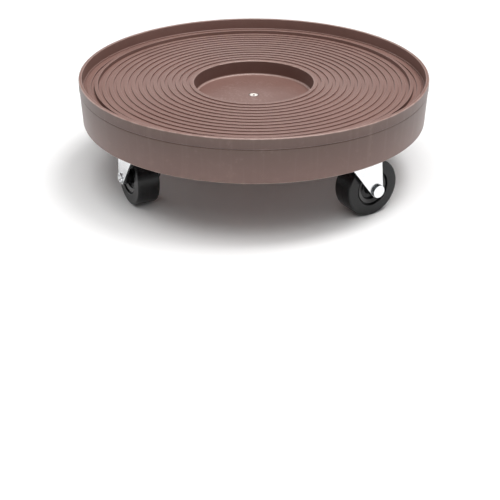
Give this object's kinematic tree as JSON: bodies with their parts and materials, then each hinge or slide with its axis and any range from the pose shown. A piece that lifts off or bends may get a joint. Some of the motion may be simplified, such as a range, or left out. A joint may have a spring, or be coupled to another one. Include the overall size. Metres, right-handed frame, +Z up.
{
  "type": "plant pot caddy",
  "caption": "Round moulded plastic tray with concentric ribs, a rim and a sunk middle, on four small swivel casters for moving a heavy plant pot.",
  "frame": {"origin": "on the floor, under the centre of the round tray", "axes": "+Z up; the four casters stand on the X and Y axes, with the front one towards -Y"},
  "size_m": [0.334, 0.334, 0.1062],
  "materials": {
    "tray_plastic": "satin moulded, taupe brown",
    "plate_zinc": "bright zinc-plated pressed sheet",
    "fork_zinc": "bright zinc-plated pressed sheet",
    "cup_zinc": "bright zinc-plated pressed sheet",
    "rivet_steel": "zinc-plated, with formed heads",
    "screw_zinc": "zinc-plated",
    "ball_steel": "polished and greased",
    "wheel_rubber": "hard black rubber with a satin sheen"
  },
  "bodies": {
    "base": {"tray_skirt": "tray_plastic", "tray_deck": "tray_plastic", "tray_well": "tray_plastic", "tray_bay_front": "tray_plastic", "tray_bay_right": "tray_plastic", "tray_bay_back": "tray_plastic", "tray_bay_left": "tray_plastic", "plate_front": "plate_zinc", "plate_right": "plate_zinc", "plate_back": "plate_zinc", "plate_left": "plate_zinc", "plate_screws": "screw_zinc", "kingpins": "rivet_steel", "race_balls": "ball_steel", "race_cups": "cup_zinc"},
    "fork_front": {"yoke_front": "fork_zinc", "axle_front": "rivet_steel"},
    "roller_front": {"wheel_front": "wheel_rubber"},
    "fork_right": {"yoke_right": "fork_zinc", "axle_right": "rivet_steel"},
    "roller_right": {"wheel_right": "wheel_rubber"},
    "fork_back": {"yoke_back": "fork_zinc", "axle_back": "rivet_steel"},
    "roller_back": {"wheel_back": "wheel_rubber"},
    "fork_left": {"yoke_left": "fork_zinc", "axle_left": "rivet_steel"},
    "roller_left": {"wheel_left": "wheel_rubber"}
  },
  "joints": [
    {"name": "swivel_front", "type": "hinge", "parent": "base", "child": "fork_front", "pos_m": [0, -0.1313, 0.0712], "axis": [0, 0, 1], "continuous": true},
    {"name": "roll_front", "type": "hinge", "parent": "fork_front", "child": "roller_front", "pos_m": [-0.02016, -0.1262, 0.0276], "axis": [-0.2453, -0.9694, 0], "continuous": true},
    {"name": "swivel_right", "type": "hinge", "parent": "base", "child": "fork_right", "pos_m": [0.1313, 0, 0.0712], "axis": [0, 0, 1], "continuous": true},
    {"name": "roll_right", "type": "hinge", "parent": "fork_right", "child": "roller_right", "pos_m": [0.1342, 0.0206, 0.0276], "axis": [-0.9903, 0.1392, 0], "continuous": true},
    {"name": "swivel_back", "type": "hinge", "parent": "base", "child": "fork_back", "pos_m": [0, 0.1313, 0.0712], "axis": [0, 0, 1], "continuous": true},
    {"name": "roll_back", "type": "hinge", "parent": "fork_back", "child": "roller_back", "pos_m": [0.0208, 0.1313, 0.0276], "axis": [0, 1, 0], "continuous": true},
    {"name": "swivel_left", "type": "hinge", "parent": "base", "child": "fork_left", "pos_m": [-0.1313, 0, 0.0712], "axis": [0, 0, 1], "continuous": true},
    {"name": "roll_left", "type": "hinge", "parent": "fork_left", "child": "roller_left", "pos_m": [-0.1313, 0.0208, 0.0276], "axis": [-1, 0, 0], "continuous": true}
  ]
}
